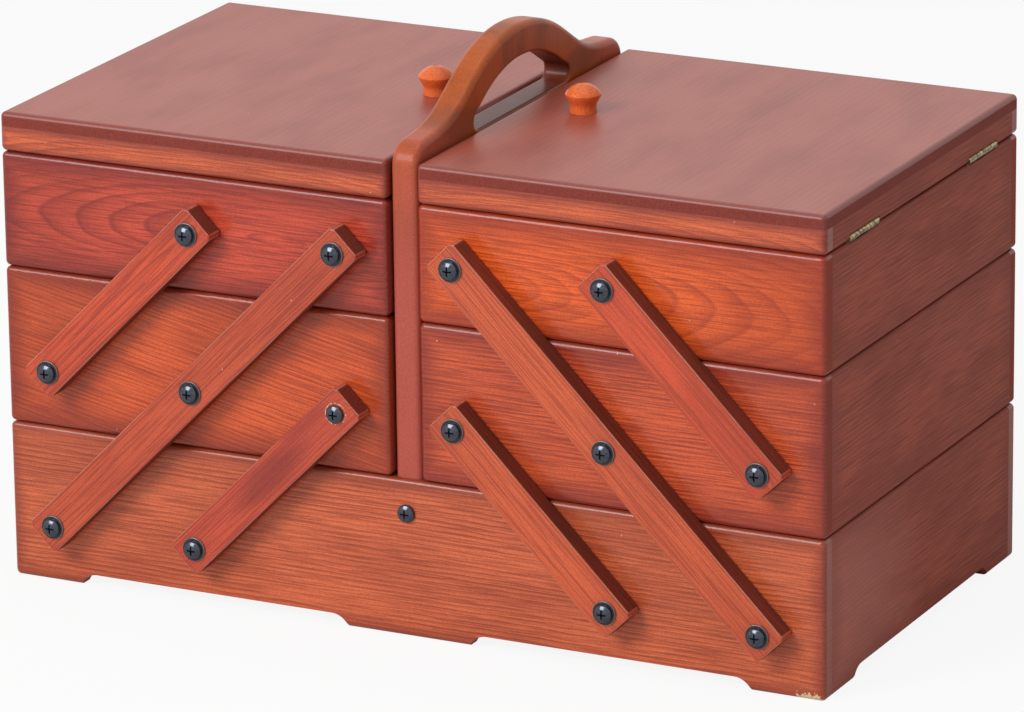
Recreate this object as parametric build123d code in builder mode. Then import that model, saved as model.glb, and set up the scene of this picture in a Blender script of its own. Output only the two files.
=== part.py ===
"""Three-tier wooden sewing box whose trays swing out to both sides on wooden arms.

Millimetres, +Z up, +X along the front towards the right end, front face towards -Y.
The origin is on the floor under the middle of the box. The right half is drawn and
mirrored to the left, and what is on the front is mirrored to the back.
"""

from build123d import *
from math import atan2, cos, degrees, hypot, radians, sqrt, tan
import os

os.makedirs("parts", exist_ok=True)

# ---------------------------------------------------------------- driving sizes
box_length = 440.0              # outside, along X
box_depth = 232.0               # outside, along Y, without the arms
base_height = 80.0              # floor to the base's rim
mid_tray_height = 79.6
top_tray_height = 58.1
lid_height = 19.6
long_wall = 8.0                 # front and back boards
end_wall = 9.0                  # end boards
edge_radius = 2.6               # rounding of every outside edge
rest_gap = 0.4                  # between a tray or lid and the rim that it rests on

# plywood bottoms, let into grooves
bottom_thickness = 3.0
groove_depth = 3.0
groove_play = 0.2
base_floor_height = 8.0         # floor to the underside of the base's bottom
tray_floor_height = 3.0         # tray's lower edge to the underside of its bottom

# feet, left standing by shallow cut-outs in the base boards
arch_height = 6.0
arch_curve = 10.0
front_foot = 37.0
middle_foot = 64.0
end_foot = 33.0

# handle board: an arch with a finger hole on two posts
handle_thickness = 14.5
handle_clearance = 0.95         # between the board and the trays beside it
handle_rise = 40.5              # lid top to the top of the arch
arch_grip = 16.0                # thickness of the arch, at its top
arch_slope = 31.0               # degrees, flanks of the arch
arch_radius = 95.0
waist_offset = 76.0             # centre to where the arch meets the shoulder
waist_radius = 60.0
shoulder_drop = 3.7             # waist to the outer end of the shoulder
shoulder_radius = 12.0
handle_edge = 3.5
hole_half_width = 52.0
hole_upper_radius = 4.0
hole_lower_radius = 4.5
hole_edge = 1.6
bar_below_lid = 0.5             # lid top to the top of the bar
bar_depth = 24.0
post_width = 40.0
window_radius = 12.0

# arms and their pivots
arm_width = 20.0
arm_thickness = 11.0
arm_overhang = 9.5              # pivot to the end of the arm
arm_corner = 3.0
arm_edge = 0.8
arm_clearance = 0.7             # between the arm and the boards
inner_pivot_inset = 23.3        # tray's inner end to its inner pivot
outer_pivot_inset = 29.5        # box's outer end to the outer pivot
pivot_below_rim = 47.5

# pan head screws and washers
screw_radius = 2.0
head_radius = 4.5
head_height = 3.0
head_side = 1.4
head_edge = 0.9
recess_length = 4.8
recess_width = 0.9
recess_depth = 1.7
recess_taper = 12.0             # degrees
washer_radius = 6.0
washer_bore = 2.4
washer_thickness = 0.9
washer_edge = 0.3
arm_play = 0.2                  # between the arm and the washer
pivot_running_fit = 0.08        # arm hole over the screw, radial
wood_behind_tip = 1.5
wood_behind_pilot = 0.4
handle_screw_length = 25.0
handle_screw_below_rim = 17.0
handle_screw_fit = 0.2          # panel hole over the screw, radial

# lids
lid_board = 7.0
knob_inset = 31.8               # lid's inner end to the knob's axis
knob_foot_radius = 6.7
knob_waist_radius = 6.4
knob_waist_height = 3.6
knob_rim_radius = 9.0
knob_rim_height = 9.2
knob_height = 14.2
knob_rim_edge = 0.5
knob_dimple_radius = 2.3
knob_dimple_depth = 0.5
tenon_radius = 3.0
tenon_length = 5.5

# hinges, two on the outer end of each top tray
hinge_length = 34.0
hinge_offset = 71.5             # middle of the box to the middle of a hinge
hinge_inset = 1.2               # box's outer end to the hinge axis
hinge_rise = 1.5                # tray rim to the hinge axis
knuckle_radius = 1.7
knuckle_gap = 0.3
pin_radius = 0.8
pin_running_fit = 0.06
leaf_thickness = 1.0
leaf_wood_margin = 0.8          # leaf's edge to the inner face of the wall
mortise_play = 0.2
notch_clearance = 0.5           # lid rail to the knuckles
hinge_screw_spacing = 20.0
hinge_screw_radius = 0.9
hinge_screw_head = 1.8
hinge_screw_length = 7.5
hinge_recess_length = 2.2
hinge_recess_width = 0.45
countersink_play = 0.05

# ---------------------------------------------------------------- derived places
half_length = box_length / 2
half_depth = box_depth / 2
inner_x = handle_thickness / 2 + handle_clearance
inside_y = half_depth - long_wall
inside_x = half_length - end_wall
tray_inside_x = inner_x + end_wall

tier_pitch = mid_tray_height + rest_gap
mid_bottom = base_height + rest_gap
mid_rim = mid_bottom + mid_tray_height
top_bottom = mid_rim + rest_gap
top_rim = top_bottom + top_tray_height
lid_bottom = top_rim + rest_gap
lid_top = lid_bottom + lid_height

outer_pivot_x = half_length - outer_pivot_inset
inner_pivot_x = inner_x + inner_pivot_inset
middle_pivot_x = (outer_pivot_x + inner_pivot_x) / 2
base_pivot_z = base_height - pivot_below_rim
mid_pivot_z = base_pivot_z + tier_pitch
top_pivot_z = mid_pivot_z + tier_pitch

arm_back_y = half_depth + arm_clearance
arm_face_y = arm_back_y + arm_thickness
washer_face_y = arm_face_y + arm_play
head_seat_y = washer_face_y + washer_thickness
pivot_screw_length = head_seat_y - half_depth + long_wall - wood_behind_tip
pilot_depth = long_wall - wood_behind_pilot

handle_half = handle_thickness / 2
post_y = half_depth - edge_radius
post_foot_z = base_floor_height + bottom_thickness
arch_top = lid_top + handle_rise
bar_top = lid_top - bar_below_lid
bar_bottom = bar_top - bar_depth
knob_x = inner_x + knob_inset

hinge_x = half_length - hinge_inset
hinge_z = top_rim + hinge_rise
leaf_inner_x = inside_x + leaf_wood_margin
leaf_outer_x = hinge_x - knuckle_radius - knuckle_gap
leaf_middle_x = (leaf_inner_x + leaf_outer_x) / 2
knuckle_length = (hinge_length - 2 * knuckle_gap) / 3
knuckle_step = knuckle_length + knuckle_gap


# ---------------------------------------------------------------- shared shapes
def block(x_span, y_span, z_span, mode=Mode.ADD):
    """Adds or cuts a plain block, each way from a low to a high value."""
    spans = (x_span, y_span, z_span)
    centre = tuple((low + high) / 2 for low, high in spans)
    with Locations(centre):
        Box(*(high - low for low, high in spans), mode=mode)


def rounded_block(x_span, y_span, z_span):
    """A block with all of its edges rounded, from which the boards are cut."""
    with BuildPart() as whole:
        block(x_span, y_span, z_span)
        fillet(whole.edges(), edge_radius)
    return whole.part


def front_holes(points, radius, depth):
    """Cuts holes at (x, z) points into the front, from the front face inwards."""
    with BuildSketch(Plane.XZ.offset(half_depth)) as rounds:
        with Locations(*points):
            Circle(radius)
    extrude(rounds.sketch, amount=-depth, mode=Mode.SUBTRACT)


def round_edges(builder):
    """The full circles among a turned piece's edges."""
    return builder.edges().filter_by(GeomType.CIRCLE).filter_by(lambda edge: edge.is_closed)


def on_side(piece, side):
    """The piece as drawn for the right half, or its mirror image for the left."""
    return piece if side == "right" else mirror(piece, about=Plane.YZ)


def on_face(piece, face):
    """The piece as drawn for the front, or its mirror image for the back."""
    return piece if face == "front" else mirror(piece, about=Plane.XZ)


def save(piece, name):
    """Labels a finished piece and writes it under its node's name."""
    piece.label = name
    export_step(piece, f"parts/{name}.step")


# ---------------------------------------------------------------- screws
def cap_radius(rim_radius, rise):
    """Radius of the ball of which a round cap of this rim and height is a slice."""
    return (rim_radius ** 2 + rise ** 2) / (2 * rise)


def halfway_up_cap(rim_radius, rise):
    """Point on a cap's outline at half of its rim radius, as (radius, height above the rim)."""
    ball = cap_radius(rim_radius, rise)
    half = rim_radius / 2
    return half, rise - ball + sqrt(ball ** 2 - half ** 2)


def pan_screw(length):
    """Pan head screw along Z, its head seated on z = 0, with a crossed recess."""
    cap_rise = head_height - head_side
    cap_x, cap_z = halfway_up_cap(head_radius, cap_rise)
    with BuildPart() as screw:
        with BuildSketch(Plane.XZ):
            with BuildLine():
                Polyline((0, head_height), (0, -length), (screw_radius / 2, -length),
                         (screw_radius, -length + screw_radius), (screw_radius, 0), (head_radius, 0),
                         (head_radius, head_side))
                ThreePointArc((head_radius, head_side), (cap_x, head_side + cap_z), (0, head_height))
            make_face()
        revolve(axis=Axis.Z)
        fillet(round_edges(screw).sort_by(Axis.Z)[-1], head_edge)
        with BuildSketch(Plane.XY.offset(head_height)):
            Rectangle(recess_length, recess_width)
            Rectangle(recess_width, recess_length)
        extrude(amount=-recess_depth, taper=recess_taper, mode=Mode.SUBTRACT)
    return screw.part


def washer():
    """Flat washer along Z, its outer face on z = 0."""
    with BuildPart() as ring:
        Cylinder(washer_radius, washer_thickness, align=(Align.CENTER, Align.CENTER, Align.MAX))
        Cylinder(washer_bore, washer_thickness, align=(Align.CENTER, Align.CENTER, Align.MAX),
                 mode=Mode.SUBTRACT)
        fillet(round_edges(ring).group_by(SortBy.RADIUS)[-1].sort_by(Axis.Z)[-1], washer_edge)
    return ring.part


def outward(x, z, y):
    """Place on the front at height z whose own +Z points out of the front."""
    return Plane(origin=(x, -y, z), x_dir=(1, 0, 0), z_dir=(0, -1, 0))


pivot_screw = pan_screw(pivot_screw_length)
handle_screw = pan_screw(handle_screw_length)
pivot_washer = washer()


def pivot_set(points, bare_points=()):
    """Screws with washers at the (x, z) points on the front, and without at the bare ones."""
    with BuildPart() as fasteners:
        with Locations(*[outward(x, z, head_seat_y) for x, z in points]):
            add(pivot_screw)
            add(pivot_washer)
        if bare_points:
            with Locations(*[outward(x, z, washer_face_y) for x, z in bare_points]):
                add(pivot_screw)
    return fasteners.part


# ---------------------------------------------------------------- base
base_block = rounded_block((-half_length, half_length), (-half_depth, half_depth), (0, base_height))
base_groove = (base_floor_height, base_floor_height + bottom_thickness + groove_play)
tall_arch = 4 * arch_curve
front_arch_width = half_length - front_foot - middle_foot / 2
front_arch_x = middle_foot / 2 + front_arch_width / 2
base_pivots = [(outer_pivot_x, base_pivot_z), (middle_pivot_x, base_pivot_z)]
base_pivots += [(-x, z) for x, z in base_pivots]
handle_screw_point = (0, base_height - handle_screw_below_rim)

with BuildPart() as base_front_panel:
    add(base_block)
    block((-half_length, half_length), (-half_depth, -inside_y), (0, base_height), mode=Mode.INTERSECT)
    block((-inside_x - groove_depth, inside_x + groove_depth), (-inside_y - groove_depth, -inside_y),
          base_groove, mode=Mode.SUBTRACT)
    with BuildSketch(Plane.XZ.offset(half_depth)):
        with Locations((-front_arch_x, arch_height - tall_arch / 2), (front_arch_x, arch_height - tall_arch / 2)):
            RectangleRounded(front_arch_width, tall_arch, arch_curve)
    extrude(amount=-long_wall, mode=Mode.SUBTRACT)
    front_holes(base_pivots, screw_radius, pilot_depth)
    front_holes([handle_screw_point], screw_radius + handle_screw_fit, long_wall)
save(base_front_panel.part, "base_front_panel")
save(mirror(base_front_panel.part, about=Plane.XZ), "base_back_panel")

with BuildPart() as base_right_end:
    add(base_block)
    block((inside_x, half_length), (-inside_y, inside_y), (0, base_height), mode=Mode.INTERSECT)
    block((inside_x, inside_x + groove_depth), (-inside_y, inside_y), base_groove, mode=Mode.SUBTRACT)
    with BuildSketch(Plane.YZ.offset(half_length)):
        with Locations((0, arch_height - tall_arch / 2)):
            RectangleRounded(box_depth - 2 * end_foot, tall_arch, arch_curve)
    extrude(amount=-end_wall, mode=Mode.SUBTRACT)
with BuildPart() as base_end_panels:
    add(base_right_end.part)
    mirror(base_right_end.part, about=Plane.YZ)
save(base_end_panels.part, "base_end_panels")

with BuildPart() as base_bottom_panel:
    reach = groove_depth - groove_play
    block((-inside_x - reach, inside_x + reach), (-inside_y - reach, inside_y + reach),
          (base_floor_height, base_floor_height + bottom_thickness))
save(base_bottom_panel.part, "base_bottom_panel")

with BuildPart() as base_screws:
    add(pivot_set(base_pivots))
    with Locations(outward(*handle_screw_point, half_depth)):
        add(handle_screw)
    mirror(about=Plane.XZ)
save(base_screws.part, "base_screws_and_washers")

# ---------------------------------------------------------------- handle board
slope = tan(radians(arch_slope))
lift = 1 / cos(radians(arch_slope)) - 1
outline_apex = arch_top + arch_radius * lift
waist_z = outline_apex - waist_offset * slope
hole_radius = arch_radius - arch_grip
hole_apex = arch_top - arch_grip + hole_radius * lift
hole_corner_z = hole_apex - hole_half_width * slope

with BuildPart() as handle_frame:
    with BuildSketch(Plane.YZ.offset(-handle_half)):
        with BuildLine():
            outline = FilletPolyline(
                (-post_y, post_foot_z), (-post_y, waist_z - shoulder_drop), (-waist_offset, waist_z),
                (0, outline_apex), (waist_offset, waist_z), (post_y, waist_z - shoulder_drop),
                (post_y, post_foot_z),
                radius=[shoulder_radius, waist_radius, arch_radius, waist_radius, shoulder_radius])
            Line(outline @ 1, outline @ 0)
        make_face()
    extrude(amount=handle_thickness)
    rims = handle_frame.faces().filter_by(Axis.X).edges()
    fillet(rims.filter_by(lambda edge: edge.bounding_box().max.Z > post_foot_z + handle_edge), handle_edge)
    with BuildSketch(Plane.YZ.offset(-handle_half)) as openings:
        with BuildLine():
            FilletPolyline(
                (-hole_half_width, bar_top), (-hole_half_width, hole_corner_z), (0, hole_apex),
                (hole_half_width, hole_corner_z), (hole_half_width, bar_top),
                radius=[hole_lower_radius, hole_upper_radius, hole_radius, hole_upper_radius, hole_lower_radius],
                close=True)
        make_face()
    extrude(amount=handle_thickness, mode=Mode.SUBTRACT)
    hole_rims = handle_frame.edges(Select.LAST).group_by(Axis.X)
    fillet(hole_rims[0] + hole_rims[-1], hole_edge)
    window_half = post_y - post_width
    window_height = bar_bottom - post_foot_z
    with BuildSketch(Plane.YZ.offset(-handle_half)):
        with Locations((0, bar_bottom - window_height)):
            RectangleRounded(2 * window_half, 2 * window_height, window_radius)
    extrude(amount=handle_thickness, mode=Mode.SUBTRACT)
    for y_span in ((-half_depth, -inside_y), (inside_y, half_depth)):
        block((-handle_half, handle_half), y_span, (0, base_height), mode=Mode.SUBTRACT)
    with BuildSketch(Plane.XZ.offset(half_depth)):
        with Locations(handle_screw_point):
            Circle(screw_radius)
    extrude(amount=-handle_screw_length, mode=Mode.SUBTRACT)
    with BuildSketch(Plane.XZ.offset(-half_depth)):
        with Locations(handle_screw_point):
            Circle(screw_radius)
    extrude(amount=handle_screw_length, mode=Mode.SUBTRACT)
save(handle_frame.part, "handle_frame")


# ---------------------------------------------------------------- trays
def tray_boards(bottom, rim, pivot_points):
    """Front, inner, outer and bottom boards of a right-hand tray."""
    whole = rounded_block((inner_x, half_length), (-half_depth, half_depth), (bottom, rim))
    floor = bottom + tray_floor_height
    groove = (floor, floor + bottom_thickness + groove_play)
    with BuildPart() as front:
        add(whole)
        block((inner_x, half_length), (-half_depth, -inside_y), (bottom, rim), mode=Mode.INTERSECT)
        block((tray_inside_x - groove_depth, inside_x + groove_depth), (-inside_y - groove_depth, -inside_y),
              groove, mode=Mode.SUBTRACT)
        front_holes(pivot_points, screw_radius, pilot_depth)
    with BuildPart() as inner:
        add(whole)
        block((inner_x, tray_inside_x), (-inside_y, inside_y), (bottom, rim), mode=Mode.INTERSECT)
        block((tray_inside_x - groove_depth, tray_inside_x), (-inside_y, inside_y), groove,
              mode=Mode.SUBTRACT)
    with BuildPart() as outer:
        add(whole)
        block((inside_x, half_length), (-inside_y, inside_y), (bottom, rim), mode=Mode.INTERSECT)
        block((inside_x, inside_x + groove_depth), (-inside_y, inside_y), groove, mode=Mode.SUBTRACT)
    with BuildPart() as floor_board:
        reach = groove_depth - groove_play
        block((tray_inside_x - reach, inside_x + reach), (-inside_y - reach, inside_y + reach),
              (floor, floor + bottom_thickness))
    return front.part, inner.part, outer.part, floor_board.part


mid_pivots = [(x, mid_pivot_z) for x in (outer_pivot_x, middle_pivot_x, inner_pivot_x)]
top_pivots = [(x, top_pivot_z) for x in (middle_pivot_x, inner_pivot_x)]

mid_front, mid_inner, mid_outer, mid_floor = tray_boards(mid_bottom, mid_rim, mid_pivots)
with BuildPart() as mid_ends:
    add(mid_inner)
    add(mid_outer)
mid_washered = pivot_set(mid_pivots)
mid_one_bare = pivot_set(mid_pivots[:-1], bare_points=mid_pivots[-1:])

for side in ("left", "right"):
    save(on_side(mid_front, side), f"{side}_mid_tray_front")
    save(on_side(mirror(mid_front, about=Plane.XZ), side), f"{side}_mid_tray_back")
    save(on_side(mid_ends.part, side), f"{side}_mid_tray_ends")
    save(on_side(mid_floor, side), f"{side}_mid_tray_bottom")
    with BuildPart() as mid_screws:
        add(mid_one_bare if side == "left" else mid_washered)
        mirror(mid_washered, about=Plane.XZ)
    save(on_side(mid_screws.part, side), f"{side}_mid_tray_screws_and_washers")

# ---------------------------------------------------------------- hinges
hinge_places = (-hinge_offset, hinge_offset)
hinge_screw_ys = [place + shift for place in hinge_places
                  for shift in (-hinge_screw_spacing / 2, hinge_screw_spacing / 2)]


def along_y(x, y, z):
    """Place at the point whose own +Z runs along Y."""
    return Plane(origin=(x, y, z), z_dir=(0, 1, 0))


def hinge_leaf(place, z_span, knuckle_shifts, tab_z_span, bore):
    """One leaf of the hinge centred at y = place, with the knuckles at the given shifts."""
    with BuildPart() as leaf:
        block((leaf_inner_x, leaf_outer_x), (place - hinge_length / 2, place + hinge_length / 2), z_span)
        for shift in knuckle_shifts:
            span = (place + shift - knuckle_length / 2, place + shift + knuckle_length / 2)
            block((leaf_outer_x, hinge_x), span, tab_z_span)
            with Locations(along_y(hinge_x, place + shift, hinge_z)):
                Cylinder(knuckle_radius, knuckle_length)
        with Locations(along_y(hinge_x, place, hinge_z)):
            Cylinder(bore, 2 * hinge_length, mode=Mode.SUBTRACT)
    return leaf.part


def countersunk_screw():
    """Countersunk screw along Z, its flat head on z = 0."""
    with BuildPart() as screw:
        with BuildSketch(Plane.XZ):
            with BuildLine():
                Polyline((0, 0), (hinge_screw_head, 0), (hinge_screw_radius, -leaf_thickness),
                         (hinge_screw_radius, hinge_screw_radius - hinge_screw_length),
                         (0, -hinge_screw_length), close=True)
            make_face()
        revolve(axis=Axis.Z)
        with BuildSketch(Plane.XY):
            Rectangle(hinge_recess_length, hinge_recess_width)
            Rectangle(hinge_recess_width, hinge_recess_length)
        extrude(amount=-leaf_thickness / 2, mode=Mode.SUBTRACT)
    return screw.part


def countersink():
    """What a countersunk screw takes out of a leaf, with a little play."""
    with BuildPart() as cut:
        Cone(hinge_screw_radius + countersink_play, hinge_screw_head + countersink_play, leaf_thickness,
             align=(Align.CENTER, Align.CENTER, Align.MAX))
    return cut.part


hinge_screw = countersunk_screw()
screw_seat = countersink()
up_screws = [Plane(origin=(leaf_middle_x, y, top_rim)) for y in hinge_screw_ys]
down_screws = [Plane(origin=(leaf_middle_x, y, lid_bottom), x_dir=(1, 0, 0), z_dir=(0, 0, -1))
               for y in hinge_screw_ys]
outer_shifts = (-knuckle_step, knuckle_step)

tray_leaf_parts = [hinge_leaf(place, (top_rim - leaf_thickness, top_rim), outer_shifts,
                              (top_rim - leaf_thickness, hinge_z), pin_radius) for place in hinge_places]
lid_leaf_parts = [hinge_leaf(place, (lid_bottom, lid_bottom + leaf_thickness), (0,),
                             (lid_bottom, lid_bottom + leaf_thickness), pin_radius + pin_running_fit)
                  for place in hinge_places]

with BuildPart() as tray_leaves:
    add(tray_leaf_parts)
    with Locations(*up_screws):
        add(screw_seat, mode=Mode.SUBTRACT)
with BuildPart() as lid_leaves:
    add(lid_leaf_parts)
    with Locations(*down_screws):
        add(screw_seat, mode=Mode.SUBTRACT)
with BuildPart() as hinge_pins:
    with Locations(*[along_y(hinge_x, place, hinge_z) for place in hinge_places]):
        Cylinder(pin_radius, hinge_length)
with BuildPart() as tray_hinge_screws:
    with Locations(*up_screws):
        add(hinge_screw)
with BuildPart() as lid_hinge_screws:
    with Locations(*down_screws):
        add(hinge_screw)

# ---------------------------------------------------------------- top trays
top_front, top_inner, top_outer_plain, top_floor = tray_boards(top_bottom, top_rim, top_pivots)
mortise_half = hinge_length / 2 + mortise_play
with BuildPart() as top_outer:
    add(top_outer_plain)
    for place in hinge_places:
        block((leaf_inner_x - mortise_play, half_length), (place - mortise_half, place + mortise_half),
              (top_rim - leaf_thickness, top_rim), mode=Mode.SUBTRACT)
    with Locations(*up_screws):
        Cylinder(hinge_screw_radius, hinge_screw_length + leaf_thickness,
                 align=(Align.CENTER, Align.CENTER, Align.MAX), mode=Mode.SUBTRACT)
with BuildPart() as top_screws:
    add(pivot_set(top_pivots))
    mirror(about=Plane.XZ)

for side in ("left", "right"):
    save(on_side(top_front, side), f"{side}_top_tray_front")
    save(on_side(mirror(top_front, about=Plane.XZ), side), f"{side}_top_tray_back")
    save(on_side(top_inner, side), f"{side}_top_tray_inner_end")
    save(on_side(top_outer.part, side), f"{side}_top_tray_outer_end")
    save(on_side(top_floor, side), f"{side}_top_tray_bottom")
    save(on_side(top_screws.part, side), f"{side}_top_tray_screws_and_washers")
    save(on_side(tray_leaves.part, side), f"{side}_hinge_tray_leaves")
    save(on_side(hinge_pins.part, side), f"{side}_hinge_pins")
    save(on_side(tray_hinge_screws.part, side), f"{side}_hinge_tray_screws")

# ---------------------------------------------------------------- lids
lid_block = rounded_block((inner_x, half_length), (-half_depth, half_depth), (lid_bottom, lid_top))
board_bottom = lid_top - lid_board
rail_span = (lid_bottom, board_bottom)
notch_x = hinge_x - knuckle_radius - notch_clearance
notch_top = hinge_z + knuckle_radius + notch_clearance

with BuildPart() as lid_panel:
    add(lid_block)
    block((inner_x, half_length), (-half_depth, half_depth), (board_bottom, lid_top), mode=Mode.INTERSECT)
    with Locations((knob_x, 0, lid_top)):
        Cylinder(tenon_radius, tenon_length, align=(Align.CENTER, Align.CENTER, Align.MAX), mode=Mode.SUBTRACT)
with BuildPart() as lid_front_rail:
    add(lid_block)
    block((inner_x, half_length), (-half_depth, -inside_y), rail_span, mode=Mode.INTERSECT)
with BuildPart() as lid_long_rails:
    add(lid_front_rail.part)
    mirror(lid_front_rail.part, about=Plane.XZ)
with BuildPart() as lid_inner_rail:
    add(lid_block)
    block((inner_x, tray_inside_x), (-inside_y, inside_y), rail_span, mode=Mode.INTERSECT)
with BuildPart() as lid_outer_rail:
    add(lid_block)
    block((inside_x, half_length), (-inside_y, inside_y), rail_span, mode=Mode.INTERSECT)
    for place in hinge_places:
        place_span = (place - mortise_half, place + mortise_half)
        block((leaf_inner_x - mortise_play, half_length), place_span,
              (lid_bottom, lid_bottom + leaf_thickness), mode=Mode.SUBTRACT)
        block((notch_x, half_length), place_span, (lid_bottom, notch_top), mode=Mode.SUBTRACT)
    with Locations(*down_screws):
        Cylinder(hinge_screw_radius, hinge_screw_length + leaf_thickness,
                 align=(Align.CENTER, Align.CENTER, Align.MAX), mode=Mode.SUBTRACT)

dome_x, dome_z = halfway_up_cap(knob_rim_radius, knob_height - knob_rim_height)
dimple_ball = cap_radius(knob_dimple_radius, knob_dimple_depth)
with BuildPart() as knob:
    with BuildSketch(Plane.XZ):
        with BuildLine():
            Polyline((knob_x, lid_top + knob_height), (knob_x, lid_top - tenon_length),
                     (knob_x + tenon_radius, lid_top - tenon_length), (knob_x + tenon_radius, lid_top),
                     (knob_x + knob_foot_radius, lid_top))
            flare = Spline(
                (knob_x + knob_foot_radius, lid_top),
                (knob_x + knob_waist_radius, lid_top + knob_waist_height),
                (knob_x + knob_rim_radius, lid_top + knob_rim_height),
                tangents=[(-0.1, 1), (0.25, 1)])
            ThreePointArc(flare @ 1, (knob_x + dome_x, lid_top + knob_rim_height + dome_z),
                          (knob_x, lid_top + knob_height))
        make_face()
    revolve(axis=Axis((knob_x, 0, 0), (0, 0, 1)))
    fillet(round_edges(knob).sort_by(Axis.Z)[-1], knob_rim_edge)
    with Locations((knob_x, 0, lid_top + knob_height + dimple_ball - knob_dimple_depth)):
        Sphere(dimple_ball, mode=Mode.SUBTRACT)

for side in ("left", "right"):
    save(on_side(lid_panel.part, side), f"{side}_lid_panel")
    save(on_side(lid_long_rails.part, side), f"{side}_lid_long_rails")
    save(on_side(lid_inner_rail.part, side), f"{side}_lid_inner_rail")
    save(on_side(lid_outer_rail.part, side), f"{side}_lid_outer_rail")
    save(on_side(knob.part, side), f"{side}_knob")
    save(on_side(lid_leaves.part, side), f"{side}_hinge_lid_leaves")
    save(on_side(lid_hinge_screws.part, side), f"{side}_hinge_lid_screws")


# ---------------------------------------------------------------- arms
def front_arm(points):
    """Arm on the front through pivots given as (x, z), the first and last near its ends."""
    (x_a, z_a), (x_b, z_b) = points[0], points[-1]
    with BuildPart() as arm:
        with BuildSketch(Plane.XZ.offset(arm_back_y)):
            with Locations(((x_a + x_b) / 2, (z_a + z_b) / 2)):
                RectangleRounded(hypot(x_b - x_a, z_b - z_a) + 2 * arm_overhang, arm_width, arm_corner,
                                 rotation=degrees(atan2(z_b - z_a, x_b - x_a)))
        extrude(amount=arm_thickness)
        fillet(arm.faces().filter_by(Axis.Y).edges(), arm_edge)
        with BuildSketch(Plane.XZ.offset(arm_back_y)):
            with Locations(*points):
                Circle(screw_radius + pivot_running_fit)
        extrude(amount=arm_thickness, mode=Mode.SUBTRACT)
    return arm.part


arms = {
    "long_arm": front_arm([(outer_pivot_x, base_pivot_z), (middle_pivot_x, mid_pivot_z),
                           (inner_pivot_x, top_pivot_z)]),
    "lower_arm": front_arm([(middle_pivot_x, base_pivot_z), (inner_pivot_x, mid_pivot_z)]),
    "upper_arm": front_arm([(outer_pivot_x, mid_pivot_z), (middle_pivot_x, top_pivot_z)]),
}
for side in ("left", "right"):
    for face in ("front", "back"):
        for arm_name, arm_part in arms.items():
            save(on_side(on_face(arm_part, face), side), f"{side}_{face}_{arm_name}")
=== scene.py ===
"""Looks of a wooden sewing box: a base, two trays and a lid on each side of a carrying handle.

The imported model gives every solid. This script gives each board, arm, screw and hinge its finish,
and sets up the camera, the lamps and the floor. All sizes are in metres.
"""

import logging
import math
from dataclasses import dataclass, replace
from enum import Enum

import bpy
import numpy as np
from mathutils import Matrix, Vector


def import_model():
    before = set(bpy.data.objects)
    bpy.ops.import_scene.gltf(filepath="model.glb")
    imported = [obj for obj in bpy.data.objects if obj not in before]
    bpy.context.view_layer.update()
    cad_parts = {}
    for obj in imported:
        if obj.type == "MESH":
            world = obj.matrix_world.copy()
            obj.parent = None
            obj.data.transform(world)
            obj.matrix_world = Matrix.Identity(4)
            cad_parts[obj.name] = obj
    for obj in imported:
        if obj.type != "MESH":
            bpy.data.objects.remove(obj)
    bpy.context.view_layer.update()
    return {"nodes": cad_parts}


LOG = logging.getLogger("sewing_box")
MM = 0.001

Colour = tuple[float, float, float, float]
Axis = tuple[float, float, float]
Span = tuple[float, float]
Rates = tuple[float, float, float]


def stain(red: int, green: int, blue: int) -> Colour:
    """A colour as a screen shows it, turned into the linear values that a shader takes.

    Formula: c/12.92 below 0.04045, and ((c + 0.055)/1.055) to the power 2.4 above it.

    Args:
        red: Red on the screen, 0 to 255.
        green: Green on the screen, 0 to 255.
        blue: Blue on the screen, 0 to 255.

    Returns:
        The linear colour with full alpha.
    """
    shown = [part / 255 for part in (red, green, blue)]
    linear = [c / 12.92 if c <= 0.04045 else ((c + 0.055) / 1.055) ** 2.4 for c in shown]
    return (linear[0], linear[1], linear[2], 1.0)


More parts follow.
